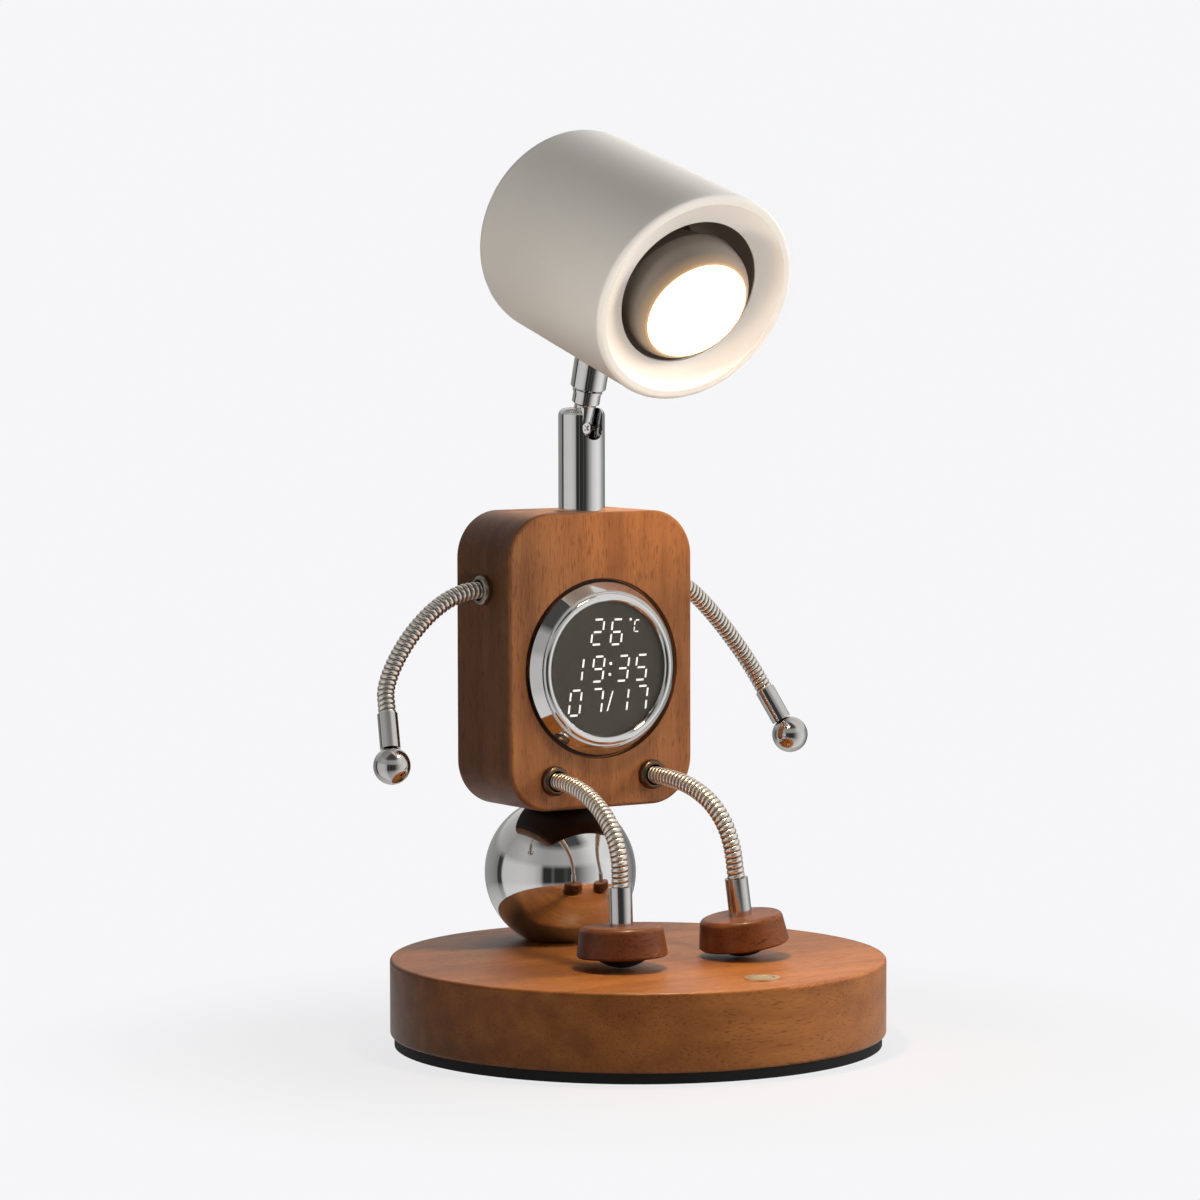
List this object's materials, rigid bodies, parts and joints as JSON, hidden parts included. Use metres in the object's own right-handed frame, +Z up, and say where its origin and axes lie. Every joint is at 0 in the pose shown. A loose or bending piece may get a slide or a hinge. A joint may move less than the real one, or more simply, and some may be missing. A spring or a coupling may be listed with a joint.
{
  "type": "clock table lamp",
  "caption": "Table lamp shaped as a seated figure: wooden body with a round clock, a tilting white shade as its head, bendable metal arms and legs, on a round wooden base.",
  "frame": {"origin": "the middle of the base's underside, where the lamp stands", "axes": "the clock and the lamp face -Y, +Z is up, +X is the figure's side on the right seen from the front"},
  "size_m": [0.1967, 0.19, 0.3493],
  "materials": {
    "walnut": "satin",
    "dark_wood": "satin",
    "chrome": "polished",
    "stem_metal": "satin",
    "steel": "satin",
    "brass": "satin",
    "black_pad": "matte",
    "black_plastic": "satin",
    "board": "satin",
    "white_paint": "matte",
    "lamp_plastic": "satin",
    "bulb_lens": "satin",
    "holder_ceramic": "satin",
    "clock_glass": "gloss",
    "display": "gloss"
  },
  "bodies": {
    "stand": {"ball": "chrome", "neck_tube": "chrome", "switch_bezel": "chrome", "clock_bezel": "chrome", "arm_collar_left": "chrome", "arm_collar_right": "chrome", "leg_collar_left": "chrome", "leg_collar_right": "chrome", "base_plate": "steel", "plate_screws": "steel", "switch_nut": "steel", "spine_rod": "steel", "rod_washer": "steel", "rod_nut": "steel", "neck_nipple": "steel", "neck_nut": "steel", "tilt_pin": "steel", "arm_stem_left": "stem_metal", "arm_stem_right": "stem_metal", "leg_stem_left": "stem_metal", "leg_stem_right": "stem_metal", "base_disc": "walnut", "body": "walnut", "base_pad": "black_pad", "cord_bushing": "black_plastic", "control_board": "board", "clock_board": "board", "switch_contact": "black_plastic", "clock_case": "black_plastic", "body_insert": "brass", "clock_glass": "clock_glass", "clock_display": "display"},
    "button": {"switch_button": "chrome"},
    "knuckle": {"knuckle": "chrome", "knuckle_screw": "steel", "swivel_ring": "chrome"},
    "head": {"head_cup": "chrome", "head_washer": "steel", "head_nut": "steel", "shade": "white_paint", "front_ring": "white_paint", "lamp_sleeve": "lamp_plastic", "lamp_bracket": "steel", "lamp_holder": "holder_ceramic", "bulb_body": "lamp_plastic", "bulb_lens": "bulb_lens", "bulb_pins": "steel"},
    "hand_left": {"arm_ferrule_left": "chrome", "hand_ball_left": "chrome"},
    "hand_right": {"arm_ferrule_right": "chrome", "hand_ball_right": "chrome"},
    "foot_left": {"leg_ferrule_left": "chrome", "foot_left": "dark_wood", "foot_pad_left": "black_pad"},
    "foot_right": {"leg_ferrule_right": "chrome", "foot_right": "dark_wood", "foot_pad_right": "black_pad"}
  },
  "joints": [
    {"name": "head_tilt", "type": "hinge", "parent": "stand", "child": "knuckle", "pos_m": [0, 0.039, 0.2346], "axis": [1, 0, 0], "range_deg": [-16.7, 58.3]},
    {"name": "head_swivel", "type": "hinge", "parent": "knuckle", "child": "head", "pos_m": [0, 0.039, 0.2346], "axis": [0, -0.2874, 0.9578], "range_deg": [-150, 150]},
    {"name": "switch_press", "type": "slide", "parent": "stand", "child": "button", "axis": [0, 0, 1], "range_m": [-0.001, 0], "stiffness_N_per_m": 400, "springref_m": 0.001},
    {"name": "arm_bend_left", "type": "hinge", "parent": "stand", "child": "hand_left", "pos_m": [-0.07083, 0.04538, 0.15942], "axis": [0, 1, 0], "range_deg": [-25, 70], "deforming": ["arm_stem_left"]},
    {"name": "arm_bend_right", "type": "hinge", "parent": "stand", "child": "hand_right", "pos_m": [0.06826, 0.0446, 0.1568], "axis": [0, -1, 0], "range_deg": [-25, 70], "deforming": ["arm_stem_right"]},
    {"name": "leg_bend_left", "type": "hinge", "parent": "stand", "child": "foot_left", "pos_m": [-0.02277, -0.00662, 0.09312], "axis": [-1, 0, 0], "range_deg": [0, 60], "deforming": ["leg_stem_left"]},
    {"name": "leg_bend_right", "type": "hinge", "parent": "stand", "child": "foot_right", "pos_m": [0.02393, -0.00867, 0.09479], "axis": [-1, 0, 0], "range_deg": [0, 60], "deforming": ["leg_stem_right"]}
  ]
}
